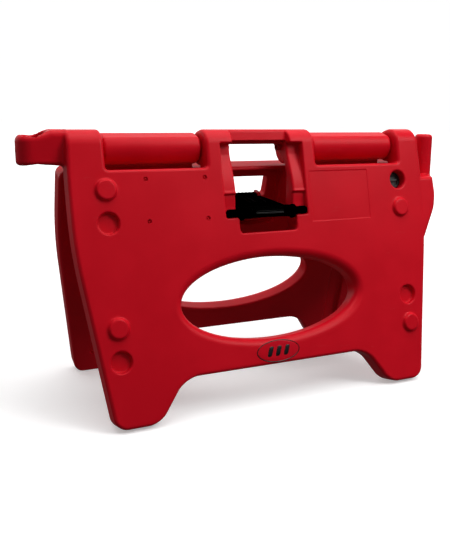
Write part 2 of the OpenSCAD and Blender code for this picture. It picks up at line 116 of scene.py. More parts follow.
def contour(field, lines):
    # The surface where a field is zero. Every grid edge that crosses it gives a quad between the four cells
    # around the edge. A cell's point is the mean of its crossings, and settle() drops it onto the field.
    mesh = np.meshgrid(*lines, indexing="ij", sparse=True)
    shape = tuple(len(line) for line in lines)
    value = np.broadcast_to(field(*mesh), shape)
    inside = value < 0
    pointSets, cellSets, quadSets = [], [], []
    for axis in range(3):
        low = [slice(None)] * 3
        high = [slice(None)] * 3
        low[axis], high[axis] = slice(None, -1), slice(1, None)
        at = np.array(np.nonzero(inside[tuple(low)] != inside[tuple(high)]))
        after = at.copy()
        after[axis] += 1
        a, b = value[tuple(at)], value[tuple(after)]
        share = a / (a - b)
        point = np.stack([lines[k][at[k]] for k in range(3)], 1)
        point[:, axis] += share * (lines[axis][after[axis]] - lines[axis][at[axis]])
        one, two = (axis + 1) % 3, (axis + 2) % 3
        ring = []
        for stepOne, stepTwo in ((1, 1), (0, 1), (0, 0), (1, 0)):
            cell = at.copy()
            cell[one] -= stepOne
            cell[two] -= stepTwo
            ring.append(np.ravel_multi_index(cell, shape, mode="clip"))
            pointSets.append(point)
            cellSets.append(ring[-1])
        quad = np.stack(ring, 1)
        quadSets.append(np.where((a < 0)[:, None], quad, quad[:, ::-1]))
    cells, index = np.unique(np.concatenate(cellSets), return_inverse=True)
    allPoints = np.concatenate(pointSets)
    count = np.bincount(index)
    points = np.stack([np.bincount(index, allPoints[:, k]) / count for k in range(3)], 1)
    quads = np.searchsorted(cells, np.concatenate(quadSets))
    return settle(field, points, quads)


def settle(field, points, quads, rounds=4, longestMove=2, leastSlope=0.05):
    # Evens the points out along the surface, then drops each one onto it: p - f g / |g|^2
    pairs = np.concatenate([quads[:, [k, (k + 1) % 4]] for k in range(4)])
    ends = np.concatenate([pairs, pairs[:, ::-1]])
    count = np.bincount(ends[:, 0], minlength=len(points))
    for k in range(rounds):
        here, slope = slopeOf(field, points)
        steep = np.maximum((slope**2).sum(1), leastSlope)
        points = points - np.clip(here / steep, -longestMove, longestMove)[:, None] * slope
        if k < rounds - 2:
            mean = np.stack([np.bincount(ends[:, 0], points[ends[:, 1], j]) / count for j in range(3)], 1)
            normal = slope / np.sqrt(steep)[:, None]
            shift = mean - points
            points = points + 0.5 * (shift - (shift * normal).sum(1)[:, None] * normal)
    here, slope = slopeOf(field, points)
    return points, quads, slope / np.maximum(np.linalg.norm(slope, axis=1), 1e-6)[:, None]


def place(side, points):
    # Leaf points or directions to the standing barrier: side 1 is the front leaf, -1 the rear one
    u, n, s = points.T
    y, z = upright(n, s)
    return np.stack([side * u, side * y, z], 1)


def newPiece(name, points, faceSets, body, stands, material, normals=None):
    # One mesh from arrays in metres, with smooth faces and, where they are known, the surface's own normals
    mesh = bpy.data.meshes.new(name)
    sizes = np.concatenate([np.full(len(faces), faces.shape[1]) for faces in faceSets])
    corners = np.concatenate([faces.ravel() for faces in faceSets])
    mesh.vertices.add(len(points))
    mesh.vertices.foreach_set("co", (points / 1000 + [0, 0, hingeZ / 1000]).astype(np.float32).ravel())
    mesh.loops.add(len(corners))
    mesh.loops.foreach_set("vertex_index", corners.astype(np.int32))
    mesh.polygons.add(len(sizes))
    mesh.polygons.foreach_set("loop_start", (np.cumsum(sizes) - sizes).astype(np.int32))
    mesh.polygons.foreach_set("use_smooth", np.full(len(sizes), True))
    mesh.update(calc_edges=True)
    if normals is not None:
        mesh.normals_split_custom_set_from_vertices(normals.tolist())
    mesh.materials.append(material)
    piece = bpy.data.objects.new(name, mesh)
    bpy.context.scene.collection.objects.link(piece)
    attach(piece, body)
    if stands:
        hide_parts(*stands)
    print(name, len(points), "points", len(sizes), "faces")
    return piece


def turned(profile, around, steps=48):
    # A profile of [radius, height] carried round an outline: around gives x and y for an array of angles at
    # radius 1. The first and last radius are nought, so both poles are single points.
    angle = np.linspace(0, 2 * math.pi, steps, endpoint=False)
    outline = np.stack(around(angle), 1)
    radius, height = np.array(profile[1:-1]).T
    flat = radius[:, None, None] * outline
    rings = np.concatenate([flat, np.broadcast_to(height[:, None, None], (len(radius), steps, 1))], 2)
    firstPole, lastPole = [[0, 0, profile[0][1]]], [[0, 0, profile[-1][1]]]
    points = np.concatenate([firstPole, rings.reshape(-1, 3), lastPole])
    step = np.arange(steps)
    after = (step + 1) % steps
    row = 1 + steps * np.arange(len(radius) - 1)[:, None]
    quads = np.stack([row + step, row + after, row + steps + after, row + steps + step], 2)
    last = len(points) - 1
    firstCap = np.stack([0 * step, 1 + after, 1 + step], 1)
    lastCap = np.stack([0 * step + last, last - steps + step, last - steps + after], 1)
    return points, [quads.reshape(-1, 4), np.concatenate([firstCap, lastCap])]


# What both leaves share. A boss has a radius and a height, a recess and the filler have a radius and a depth
leaf = {
    "length": 600,
    "face": 51,
    "back": 3,
    "edge": 8,
    "taperStart": 215,
    "draw": 5,
    "drawnFrom": [90, -60],
    "footInset": 54,
    "footWidth": 98,
    "legWidth": 217,
    "legHeight": 90,
    "footRadius": 26,
    "ovalHalf": [228, 94],
    "ovalAt": 355,
    "ovalRim": 20,
    "ovalNear": [130, 150],
    "columns": halfWidth - 77,
    "rows": [95, 165, 386, 457],
    "boss": [23.5, 8],
    "bossDraft": 0.38,
    "bossRoot": 12,
    "recess": [22.8, 11],
    "filler": [22.5, 27],
    "channel": [44, 11],
    "channelAt": [55, 445, 100],
    "channelSlant": 0.05,
}


def leafOutline(u, s):
    # Straight sides that lean in to the feet, and a gap between the legs, all with round corners
    a = np.abs(u)
    half, length = halfWidth, leaf["length"]
    footOut = half - leaf["footInset"]
    slant = halfPlane(a, s, (footOut, length), (half, leaf["taperStart"]))
    drawn = leaf["draw"] * ease(*leaf["drawnFrom"], s)
    side = bendMax(a - half + drawn, -slant, 10)
    beam = length - leaf["legHeight"]
    inner = halfPlane(a, s, (half - leaf["legWidth"], beam), (footOut - leaf["footWidth"], length))
    gap = roundMax(beam - s, inner, leaf["footRadius"])
    lower = roundMax(s - length, -gap, leaf["footRadius"] - 4)
    return roundMax(side, lower, leaf["footRadius"])


def ovalDistance(u, s):
    # Distance from an ellipse, near its line: k (k - 1) / |gradient of k|
    wide, tall = leaf["ovalHalf"]
    s = s - leaf["ovalAt"]
    k = np.hypot(u / wide, s / tall)
    return k * (k - 1) / np.maximum(np.hypot(u / wide**2, s / tall**2), 1e-6)


def discAt(u, s, column, row, radius):
    # Distance from a circle on one of the two columns: -1 on the left, 1 on the right
    return np.hypot(u - column * leaf["columns"], s - row) - radius


def backOf(n, s, radius, reach):
    # Behind: the hinge barrel's round back, filleted into the leaf's inner face
    barrel = np.hypot(n - np.clip(n, 0, reach), s) - radius
    return roundMin(barrel, leaf["back"] - n, 8)


def frontOf(n, s, radius):
    # In front: the leaf's face, rounding over the hinge line
    return np.hypot(np.maximum(n - (leaf["face"] - radius), 0), np.maximum(-s, 0)) - radius


def finishLeaf(body, u, n, s):
    # Opening, bosses, recesses and leg channels that both leaves have, and the feet cut flat on the ground
    face = leaf["face"]
    oval = ovalDistance(u, s)
    body = np.maximum(body, roundMax(n - face, -oval, leaf["ovalRim"]))
    # The opening's inner edge is rounded only near it, so that the hinge barrels keep their backs
    above, beside = leaf["ovalNear"]
    inner = np.maximum(body, roundMax(leaf["back"] - n, -oval, 5))
    body = np.where((s > leaf["ovalAt"] - above) & (np.abs(u) < halfWidth - beside), inner, body)
    one, two, three, four = leaf["rows"]
    radius, high = leaf["boss"]
    for column, row in ((-1, one), (1, two), (-1, three), (1, four)):
        cone = 0.93 * (discAt(u, s, column, row, radius) + leaf["bossDraft"] * (n - face))
        boss = roundMax(cone, n - face - high, 3)
        body = roundMin(body, np.maximum(boss, face - leaf["bossRoot"] - n), 3)
    radius, deep = leaf["recess"]
    for column, row in ((-1, two), (-1, four), (1, three)):
        dish = roundMax(discAt(u, s, column, row, radius), face - deep - n, 4)
        body = roundMax(body, -dish, 4)
    radius, deep = leaf["filler"]
    filler = roundMax(discAt(u, s, 1, one, radius), face - deep - n, 2)
    body = roundMax(body, -filler, 4)
    wide, deep = leaf["channel"]
    inset, channelMiddle, reach = leaf["channelAt"]
    middle = halfWidth - leaf["footInset"] - inset - leaf["channelSlant"] * (leaf["length"] - inset - s)
    channel = roundMax(np.abs(np.abs(u) - middle) - wide / 2, np.abs(s - channelMiddle) - reach, 12)
    body = roundMax(body, -roundMax(channel, n - leaf["back"] - deep, 5), 3)
    return roundMax(body, -(hingeZ + upright(n, s)[1]), 4)


# The front leaf alone. Both hinge gaps beside the cheeks lie a little to the right, by the cheeks' shift
front = {
    "ledge": 52.5,
    "knuckle": 39.5,
    "cheek": halfWidth - 75.5,
    "cheekShift": 6,
    "middle": 141,
    "grip": [74, 204],
    "bar": 32,
    "barUnder": [8, 17],
    "barInset": 13,
    "cutTop": -54,
    "flare": 8,
    "flareEased": [[28, 0], [150, 60]],
    "barrelEnd": [[42, 10], [-12, -24]],
    "notchOut": 106,
    "notch": [[22.8, 30.8], [113, 45], [148.5, 36.5]],
    "ridgeBead": [1.2, 3],
    "seat": [47, 158, 10.5],
    "armTip": -(halfWidth + 91),
    "armHole": [-(halfWidth + 53), 25],
    "arm": [31, 32, 42],
    "armScoop": [14, 56, 2.2],
    "armArch": [3, 92],
    "pegAt": halfWidth + 57,
    "peg": [22.2, 25.2, 29],
    "shoulder": -75,
    "swelling": [[-75, 24], [-118, 33.6], [-152, 33.6], [-262, 2]],
    "swellingWay": [0.57, 0.82],
    "swellingRoot": 20,
    "signPoints": [[-288, -151], [75, 166]],
    "signPoint": [3.4, 1.6, 4],
    "panel": [118, 284, 68, 187],
    "panelDepth": 0.9,
}


def notchCut(u, n, s):
    # The link bar's track: a pocket, a cam that rises as a sine to a beaded ridge, a hollow and a round seat
    (camTop, pocket), (ridgeAt, ridge), (hollowAt, hollow) = front["notch"]
    seatN, seatS, radius = front["seat"]
    beadHeight, beadWidth = front["ridgeBead"]
    share = np.clip((s - camTop) / (ridgeAt - camTop), 0, 1)
    crown = pocket + (ridge - pocket) * np.sin(math.pi / 2 * share)
    dip = (ridge - hollow) * (0.55 * ease(ridgeAt, ridgeAt + 4, s) + 0.45 * ease(ridgeAt + 4, hollowAt, s))
    bead = beadHeight * np.exp(-(((s - ridgeAt + 2) / beadWidth) ** 2))
    floor = 0.9 * (crown + bead - dip - n)
    seat = np.hypot(np.maximum(seatN - n, 0), np.maximum(s - seatS, 0)) - radius
    track = roundMax(np.where(s < seatS, floor, seat), -1.2 - s, 4)
    return roundMax(track, np.abs(u) - front["notchOut"], 3)


def gripCut(u, n, s, y, z):
    # The hand opening under the bar: its side walls flare towards the back, below the barrel's slanted end
    a = np.abs(u)
    half, bottom = front["grip"]
    barBottom, barStep = front["barUnder"]
    through, down = front["flareEased"]
    flare = front["flare"] * ease(*through, n) * ease(*down, s)
    slanted = halfPlane(y, z, *front["barrelEnd"])
    straight = roundMax(a - half, s - bottom, 9)
    window = roundMax(straight, z - barBottom, 3)
    wide = roundMax(a - half - flare, np.maximum(slanted, s - bottom + 9), 3)
    step = roundMax(straight, roundMax(front["barInset"] - n, z - barStep, 3), 3)
    below = np.minimum(np.minimum(window, wide), step)
    before = roundMax(roundMax(straight, front["bar"] - n, 4), front["cutTop"] - s, 3)
    return np.minimum(below, before)


def armBody(u, y, z):
    # The connector arm: a rounded beam with a scooped top, arched underneath, and a round hole
    deep, tall, root = front["arm"]
    holeAt, holeRadius = front["armHole"]
    tip = front["armTip"]
    scoopFrom, scoopLength, bend = front["armScoop"]
    arch, archLength = front["armArch"]
    rise = np.clip((u - tip - scoopFrom) / scoopLength, 0, 1)
    top = tall + (root - tall) * rise**bend
    under = -tall + arch * np.sin(math.pi * np.clip((u - tip) / archLength, 0, 1))
    plan = roundMax(np.abs(y) - deep, tip - u, deep)
    beam = roundMax(roundMax(plan, 0.92 * (z - top), 13), under - z, 9)
    beam = np.maximum(beam, u + halfWidth - 8)
    return roundMax(beam, holeRadius - np.hypot(u - holeAt, y), 4)


def swellingBody(u, n, y, z):
    # Below the peg the leaf swells to carry it: a round-ended bar that runs back from the leaf's face to the
    # peg's axis, its radius eased from height to height, flat on top and cut off at the leaf's inner face
    heights, radii = np.array(front["swelling"][::-1]).T
    radius = np.mean([np.interp(z + shift, heights, radii) for shift in (-9, -3, 3, 9)], axis=0)
    along, aside = front["swellingWay"]
    out = (u - front["pegAt"]) * along + y * aside
    across = (u - front["pegAt"]) * aside - y * along
    bar = np.hypot(np.maximum(out, 0), across) - radius
    bar = roundMax(0.93 * bar, z - front["shoulder"], 5)
    bar = roundMax(bar, n - leaf["face"] + 0.3, leaf["edge"])
    bar = roundMax(bar, np.minimum(halfWidth + 0.6 - u, leaf["back"] - n), 2)
    return np.maximum(bar, np.maximum(halfWidth - front["swellingRoot"] - u, heights[0] - z))


def frontField(u, n, s):
    # The front leaf: cheeks and a middle knuckle on top, the handle, the link's notches, the arm and the peg
    y, z = upright(n, s)
    a = np.abs(u)
    knuckles = np.minimum(a - front["middle"], front["cheek"] - np.abs(u - front["cheekShift"]))
    top = roundMin(front["ledge"] - s, knuckles, 7)
    outline = roundMax(top, leafOutline(u, s), 6)
    back = backOf(n, s, front["knuckle"], leaf["face"] - front["knuckle"])
    body = roundMax(outline, np.maximum(frontOf(n, s, front["knuckle"]), back), leaf["edge"])
    body = finishLeaf(body, u, n, s)
    # The four moulded points are rings, cut into the face
    (columnLeft, columnRight), rows = front["signPoints"]
    ring, thick, deep = front["signPoint"]
    near = np.minimum(np.abs(u - columnLeft), np.abs(u - columnRight))
    for row in rows:
        point = np.maximum(np.abs(np.hypot(near, s - row) - ring) - thick, leaf["face"] - deep - n)
        body = np.maximum(body, -point)
    # The panel is sunk a little, and ease() rounds its edge
    left, right, high, low = front["panel"]
    aside, down = np.abs(u - (left + right) / 2), np.abs(s - (high + low) / 2)
    label = np.maximum(aside - (right - left) / 2, down - (low - high) / 2)
    sunk = np.maximum(body, n - leaf["face"] + front["panelDepth"] * ease(1.2, -1.2, label))
    body = np.where(label < 1.3, sunk, body)
    body = roundMax(body, -roundMin(gripCut(u, n, s, y, z), notchCut(u, n, s), 5), 4)
    body = roundMin(body, armBody(u, y, z), 5)
    body = np.minimum(body, swellingBody(u, n, y, z))
    topRadius, baseRadius, pegTop = front["peg"]
    radius = baseRadius + (topRadius - baseRadius) * (z - front["shoulder"]) / (pegTop - front["shoulder"])
    peg = roundMax(np.hypot(u - front["pegAt"], y) - radius, z - pegTop, 8)
    return roundMin(body, np.maximum(peg, front["shoulder"] - 8 - z), 3)


# The rear leaf alone. A window and a pocket have a half width, a top and a bottom
rear = {
    "ledge": 51,
    "barrel": 35,
    "shoulder": [31.5, 44],
    "barrels": [144.5, halfWidth - 79],
    "window": [69, 84, 137],
    "pocket": [98, 60, 203, 22.5],
    "ears": [37, 46.7, 12],
    "pin": [10, 132],
}


def rearField(u, n, s):
    # The rear leaf: two hinge barrels with round shoulders, a window, and the link's pocket and ears
    a = np.abs(u)
    inner, outer = rear["barrels"]
    ends = np.maximum(inner - a, np.abs(u + front["cheekShift"]) - outer)
    top = roundMin(rear["ledge"] - s, ends, 7)
    outline = roundMax(top, leafOutline(u, s), 18)
    radius = rear["barrel"]
    back = backOf(n, s, radius, leaf["face"] - radius)
    height, turn = rear["shoulder"]
    face = roundMax(-height - s, n - leaf["face"], turn)
    body = roundMax(outline, np.maximum(face, back), leaf["edge"])
    body = finishLeaf(body, u, n, s)
    half, high, low = rear["window"]
    window = roundMax(a - half, np.abs(s - (high + low) / 2) - (low - high) / 2, 8)
    body = roundMax(body, -window, 5)
    half, high, low, floor = rear["pocket"]
    pocket = roundMax(a - half, np.abs(s - (high + low) / 2) - (low - high) / 2, 12)
    body = roundMax(body, -roundMax(pocket, n - floor, 5), 3)
    low, high, radius = rear["ears"]
    pinN, pinS = rear["pin"]
    ear = np.minimum(np.hypot(n - pinN, s - pinS) - radius, np.maximum(np.abs(s - pinS) - radius, pinN - n))
    ear = roundMax(np.maximum(ear, n - floor - 4), np.abs(a - (low + high) / 2) - (high - low) / 2, 2)
    return roundMin(body, ear, 3)


def leafLines(fineU, fineS):
    # Grid positions across, through and down a leaf, closer together where its shapes are small
    reach = -front["armTip"] + 9
    columns = [[sign * leaf["columns"] - 32, sign * leaf["columns"] + 32, 3.2] for sign in (-1, 1)]
    sides = [[sign * halfWidth - 9, sign * halfWidth + 9, 3] for sign in (-1, 1)]
    across = gridLines(-reach, reach, 4.4, columns + sides + fineU)
    before = leaf["face"] + 13
    through = gridLines(-80, before, 3.6, [[leaf["face"] - 9, before, 2.4], [-4, 8, 2.6]])
    down = gridLines(-52, leaf["length"] + 8, 4.4, [[-6, 62, 3.4]] + fineS)
    return across, through, down


def bandsAt(places, reach, step):
    # A fine band of a grid around each place
    return [[place - reach, place + reach, step] for place in places]


def bothSides(bands):
    # Fine bands of [middle, reach, step], on the left and on the right
    return [band for middle, reach, step in bands for band in bandsAt((-middle, middle), reach, step)]


# The link reaches from its pin to the seat in the front leaf's notches
seatN, seatS = front["seat"][:2]
seatY, seatZ = upright(seatN, seatS)
pinY, pinZ = linkPin[1], linkPin[2] - hingeZ
reachLength = math.hypot(seatY - pinY, seatZ - pinZ)
reachWay = [(seatY - pinY) / reachLength, (seatZ - pinZ) / reachLength]

# A sleeve, bar, pad or stub has a half length and a radius
link = {
    "sleeve": [36, 11],
    "sleeveRings": [0.8, 5],
    "plate": 4.5,
    "waist": [38, 32, 0.6],
    "plateRibs": {"apart": 14, "half": 1.6, "high": 2, "aside": 31, "middle": 38, "reach": 34},
    "bar": [71, 13],
    "collar": [66.5, 4.5, 15],
    "collarTab": [6, 3],
    "stub": [105, 9.5],
    "barRibs": [44, 50, 56],
    "barRib": [1, 1.3],
    "pad": [36, 14.2],
    "padGrooves": [0.5, 26],
    "padAt": [0.75, 11],
    "step": 1.5,
}


def linkField(x, q, h):
    # Drawn with q from the pin to the bar and h upwards: a ringed sleeve, a flared and ribbed plate, and a
    # bar with collars, ribs, a grooved pad for the fingers and a round stub at each end
    a = np.abs(x)
    share = np.clip(q / reachLength, 0, 1)
    fromPin, fromBar = np.hypot(q, h), np.hypot(q - reachLength, h)
    half, radius = link["sleeve"]
    height, pitch = link["sleeveRings"]
    wave = ease(-0.2, 0.5, np.cos(math.pi * x / pitch))
    body = roundMax(fromPin - radius - height * wave, a - half, 2)
    first, spread, power = link["waist"]
    wide = first + spread * share**power
    plate = roundMax(roundMax(np.abs(h) - link["plate"], a - wide, 3), np.maximum(-q, q - reachLength), 1)
    ribs = link["plateRibs"]
    across = np.abs(x - ribs["apart"] * np.round(x / ribs["apart"])) - ribs["half"]
    rib = roundMax(across, np.abs(h) - link["plate"] - ribs["high"], 1)
    rib = np.maximum(np.maximum(rib, a - ribs["aside"]), np.abs(q - ribs["middle"]) - ribs["reach"])
    body = roundMin(body, roundMin(plate, rib, 1.5), 3)
    half, radius = link["bar"]
    bar = roundMax(fromBar - radius, a - half, 3)
    middle, reach, radius = link["collar"]
    ends = np.abs(a - middle) - reach
    bar = roundMin(bar, roundMax(fromBar - radius, ends, 2.5), 1.5)
    lower, smaller = link["collarTab"]
    tab = roundMax(np.hypot(q - reachLength, h + lower) - radius + smaller, ends, 3)
    bar = roundMin(bar, tab, 2)
    near = np.min([np.abs(a - at) for at in link["barRibs"]], axis=0)
    ribHalf, ribHeight = link["barRib"]
    bar = roundMin(bar, roundMax(fromBar - link["bar"][1] - ribHeight, near - ribHalf, 0.7), 0.6)
    half, radius = link["pad"]
    turn = np.arctan2(h, q - reachLength)
    depth, number = link["padGrooves"]
    middle, reach = link["padAt"]
    groove = depth * ease(-0.3, 0.4, np.cos(turn * number))
    limits = np.maximum(a - half, radius * np.abs(turn - middle) - reach)
    pad = roundMax(fromBar - radius - groove, limits, 1)
    bar = roundMin(bar, pad, 0.5)
    half, radius = link["stub"]
    bar = roundMin(bar, roundMax(fromBar - radius, a - half, 7), 2)
    return roundMin(body, bar, 5)


def placeLink(points, move=1):
    # Link points, or directions with move 0, to the standing barrier
    x, q, h = points.T
    along, up = reachWay
    return np.stack([x, move * pinY + q * along + h * up, move * pinZ + q * up - h * along], 1)


# A disc has a radius and half its thickness, a stem a radius and a length
bung = {
    "disc": [20.5, 3],
    "stem": [15, 12],
    "slot": [12.3, 7.5, 4.5],
    "seal": 2,
}


def bungField(u, n, s):
    # A disc with a stem, and a slot either side of the bar that is gripped to turn it
    across, down = u - leaf["columns"], s - leaf["rows"][0]
    floor = leaf["face"] - leaf["filler"][1]
    radius, halfThick = bung["disc"]
    middle = floor + bung["seal"] + halfThick
    body = roundMax(np.hypot(across, down) - radius, np.abs(n - middle) - halfThick, 1.2)
    half, apart, reach = bung["slot"]
    slot = roundMax(np.abs(across) - half, np.abs(np.abs(down) - apart) - reach, 2)
    body = roundMax(body, -roundMax(slot, middle - n, 1), 0.8)
    stemRadius, stemLength = bung["stem"]
    stem = np.maximum(np.hypot(across, down) - stemRadius, np.maximum(floor - stemLength - n, n - middle))
    return roundMin(body, stem, 0.5)


# The badge lies on the beam, with its middle at u and s, and its heights count from the hinge line along n
badge = {
    "at": [-6, 480],
    "half": [54.6, 24.6],
    "foot": 49.5,
    "crown": 52.3,
    "fall": [1.1, 6],
    "bead": [1.1, 0.9, 51.1],
    "bars": [-21, 0, 21],
    "bar": [6, 11.5],
    "barFoot": 51,
    "lean": 0.35,
}


def ellipse(angle):
    # The badge's outline: half its width times the cosine, half its height times the sine
    return badge["half"][0] * np.cos(angle), badge["half"][1] * np.sin(angle)


def slantedBar(angle):
    # A rectangle with round corners, leaning to the right: a superellipse, with the roots of cosine and sine
    wide, tall = badge["bar"]
    y = tall * np.sign(np.sin(angle)) * np.abs(np.sin(angle)) ** 0.5
    x = wide * np.sign(np.cos(angle)) * np.abs(np.cos(angle)) ** 0.5
    return x + badge["lean"] * y, y


def onBadge(points, shift=0):
    # Flat badge points to the front leaf
    x, y, z = points.T
    return place(1, np.stack([badge["at"][0] + shift + x, z, badge["at"][1] - y], 1))


def badgeRim(steps=96, sides=10):
    # A thin bead carried round the ellipse: its line plus a small ellipse that points out from the middle
    wide, high, level = badge["bead"]
    stops = np.arange(steps) / steps * 2 * math.pi
    turns = np.arange(sides) / sides * 2 * math.pi
    along, turn = np.meshgrid(stops, turns, indexing="ij")
    x, y = ellipse(along)
    out = wide * np.cos(turn)
    points = np.stack([x + out * np.cos(along), y + out * np.sin(along), level + high * np.sin(turn)], 2)
    i, j = np.meshgrid(np.arange(steps), np.arange(sides), indexing="ij")
    nextI, nextJ = (i + 1) % steps, (j + 1) % sides
    quads = np.stack([i * sides + j, nextI * sides + j, nextI * sides + nextJ, i * sides + nextJ], 2)
    return points.reshape(-1, 3), [quads.reshape(-1, 4)]


class Wire:
    # A shader socket: the operators add Math nodes, and add() makes any other node
    def __init__(self, tree, socket=None):
        self.tree = tree
        self.socket = socket

    def add(self, kind, settings, inputs, output=0):
        node = self.tree.nodes.new(kind)
        for name, value in settings.items():
            setattr(node, name, value)
        for name, value in inputs.items():
            if isinstance(value, Wire):
                self.tree.links.new(value.socket, node.inputs[name])
            else:
                node.inputs[name].default_value = value
        return Wire(self.tree, node.outputs[output])

    def maths(self, operation, first, second):
        return self.add("ShaderNodeMath", {"operation": operation}, {0: first, 1: second})

    def __add__(self, other):
        return self.maths("ADD", self, other)

    def __radd__(self, other):
        return self.maths("ADD", other, self)

    def __sub__(self, other):
        return self.maths("SUBTRACT", self, other)

    def __rsub__(self, other):
        return self.maths("SUBTRACT", other, self)

    def __mul__(self, other):
        return self.maths("MULTIPLY", self, other)

    def __rmul__(self, other):
        return self.maths("MULTIPLY", other, self)

    def noise(self, scale, detail=2.0, stretch=(1, 1, 1), lift=0.5):
        spot = self.add("ShaderNodeMapping", {}, {"Vector": self, "Scale": stretch})
        inputs = {"Vector": spot, "Scale": scale, "Detail": detail, "Roughness": lift}
        return self.add("ShaderNodeTexNoise", {}, inputs)

    def between(self, low, high):
        # 0 at low and 1 at high, easing in and out
        settings = {"interpolation_type": "SMOOTHSTEP", "clamp": True}
        inputs = {"Value": self, "From Min": low, "From Max": high}
        return self.add("ShaderNodeMapRange", settings, inputs)

    def mix(self, low, high):
        # Colours low and high, mixed by this value
        return self.add("ShaderNodeMix", {"data_type": "RGBA"}, {0: self, 6: low, 7: high}, 2)


def moulded(name, look):
    # Satin moulded plastic: a mottled colour, a pebbled skin over slow waves, and scuffs that dull it
    material = bpy.data.materials.new(name)
    material.use_nodes = True
    tree = material.node_tree
    shader = tree.nodes["Principled BSDF"]
    spot = Wire(tree).add("ShaderNodeTexCoord", {}, {}, "Object")
    mottle = spot.noise(look["mottle"], 4.0).between(0.3, 0.7)
    pebble = spot.noise(look["grain"], 3.0)
    waves = spot.noise(look["waves"], 1.0)
    patches = spot.noise(5.0, 3.0).between(0.5, 0.72)
    scuffs = spot.noise(60.0, 5.0, (0.25, 1.6, 1.6), 0.65).between(0.6, 0.72) * patches
    colour = mottle.mix(look["deep"], look["colour"])
    colour = (scuffs * look["scuff"]).mix(colour, look["worn"])
    rough = look["rough"] + 0.06 * mottle + 0.2 * scuffs
    height = look["pebbleDepth"] * (pebble - 1.5 * scuffs) + look["waveDepth"] * waves
    bump = spot.add("ShaderNodeBump", {}, {"Height": height, "Strength": 1.0, "Distance": 1.0}, "Normal")
    tree.links.new(colour.socket, shader.inputs["Base Color"])
    tree.links.new(rough.socket, shader.inputs["Roughness"])
    tree.links.new(bump.socket, shader.inputs["Normal"])
    shader.inputs["Specular IOR Level"].default_value = look["gloss"]
    return material


redLook = {
    "colour": (0.69, 0.0035, 0.015, 1),
    "deep": (0.63, 0.003, 0.013, 1),
    "worn": (0.62, 0.06, 0.06, 1),
    "rough": 0.34,
    "gloss": 0.12,
    "mottle": 9.0,
    "grain": 900.0,
    "pebbleDepth": 0.00003,
    "waves": 14.0,
    "waveDepth": 0.0004,
    "scuff": 0.35,
}
blackLook = {
    "colour": (0.006, 0.006, 0.007, 1),
    "deep": (0.003, 0.003, 0.0035, 1),
    "worn": (0.05, 0.05, 0.052, 1),
    "rough": 0.3,
    "gloss": 0.5,
    "mottle": 60.0,
    "grain": 1600.0,
    "pebbleDepth": 0.00002,
    "waves": 40.0,
    "waveDepth": 0.0001,
    "scuff": 0.5,
}


def drawnSteel(name):
    # Bright rod: fine rings of drawing lines along X and a little dulling
    material = bpy.data.materials.new(name)
    material.use_nodes = True
    tree = material.node_tree
    shader = tree.nodes["Principled BSDF"]
    spot = Wire(tree).add("ShaderNodeTexCoord", {}, {}, "Object")
    lines = spot.noise(500.0, 3.0, (0.05, 1, 1))
    dull = spot.noise(30.0, 4.0).between(0.4, 0.7)
    colour = dull.mix((0.62, 0.62, 0.64, 1), (0.42, 0.41, 0.4, 1))
    depth = lines * 0.00002
    bump = spot.add("ShaderNodeBump", {}, {"Height": depth, "Strength": 1.0, "Distance": 1.0}, "Normal")
    tree.links.new(colour.socket, shader.inputs["Base Color"])
    tree.links.new((0.22 + 0.2 * dull).socket, shader.inputs["Roughness"])
    tree.links.new(bump.socket, shader.inputs["Normal"])
    shader.inputs["Metallic"].default_value = 1.0
    return material


plugLook = {
    **redLook,
    "deep": (0.36, 0.003, 0.01, 1),
    "grain": 1400.0,
    "waves": 40.0,
}
sealLook = {
    **blackLook,
    "colour": (0.012, 0.012, 0.012, 1),
    "rough": 0.62,
    "gloss": 0.3,
}
badgeLook = {
    **redLook,
    "colour": (0.62, 0.006, 0.02, 1),
    "rough": 0.12,
    "waveDepth": 0.0,
    "scuff": 0.1,
}
redPlastic = moulded("red moulded plastic", redLook)
plugPlastic = moulded("red plug plastic", plugLook)
blackNylon = moulded("black link nylon", blackLook)
# The bungs' black is painted shade: it stands for the dark deep inside the filler holes
bungShadeBlack = moulded("black bung plastic painting hole shade", {**blackLook, "rough": 0.42, "mottle": 90.0})
sealRubber = moulded("black seal rubber", sealLook)
badgeGloss = moulded("badge red gloss", badgeLook)
badgeInk = moulded("badge black print", {**blackLook, "rough": 0.2})
rodSteel = drawnSteel("drawn steel")
print("materials made")

# The front leaf's grid is fine near the moulded points, the panel's edges, the hand opening and the cheeks
panelLeft, panelRight, panelTop, panelBottom = front["panel"]
cheekAt = front["cheek"] - front["cheekShift"]
frontU = bandsAt(front["signPoints"][0], 6, 1.0) + bandsAt([panelLeft, panelRight], 4, 1.2)
frontU += bothSides([[front["grip"][0], 8, 2.6], [front["notchOut"], 5, 2]])
frontU += bothSides([[front["middle"], 8, 2.8], [cheekAt, 8, 2.8]])
frontS = bandsAt(front["signPoints"][1], 6, 1.0) + bandsAt([panelBottom], 3, 1.2)
frontS += [[panelTop - 4, panelTop + 1, 1.4]] + bandsAt([front["notch"][1][0]], 7, 1.8)
points, quads, normals = contour(frontField, leafLines(frontU, frontS))
points, normals = place(1, points), place(1, normals)
newPiece("front_leaf_shell", points, [quads], "front", ["front_leaf"], redPlastic, normals)

# The rear leaf's is fine near the ears, the window, the pocket and the ends of the barrels
barrelsFrom, barrelsTo = rear["barrels"]
rearU = bothSides([[36, 5, 1.8], [46, 5, 1.8], [62, 6, 2.6], [rear["pocket"][0], 6, 2.8]])
rearU += bothSides([[barrelsFrom, 8, 2.8], [barrelsTo - front["cheekShift"], 8, 2.8]])
rearS = [[72, 84, 2.6], [116, 150, 2.4], [198, 208, 2.6]]
points, quads, normals = contour(rearField, leafLines(rearU, rearS))
points, normals = place(-1, points), place(-1, normals)
newPiece("rear_leaf_shell", points, [quads], "rear", ["rear_leaf"], redPlastic, normals)

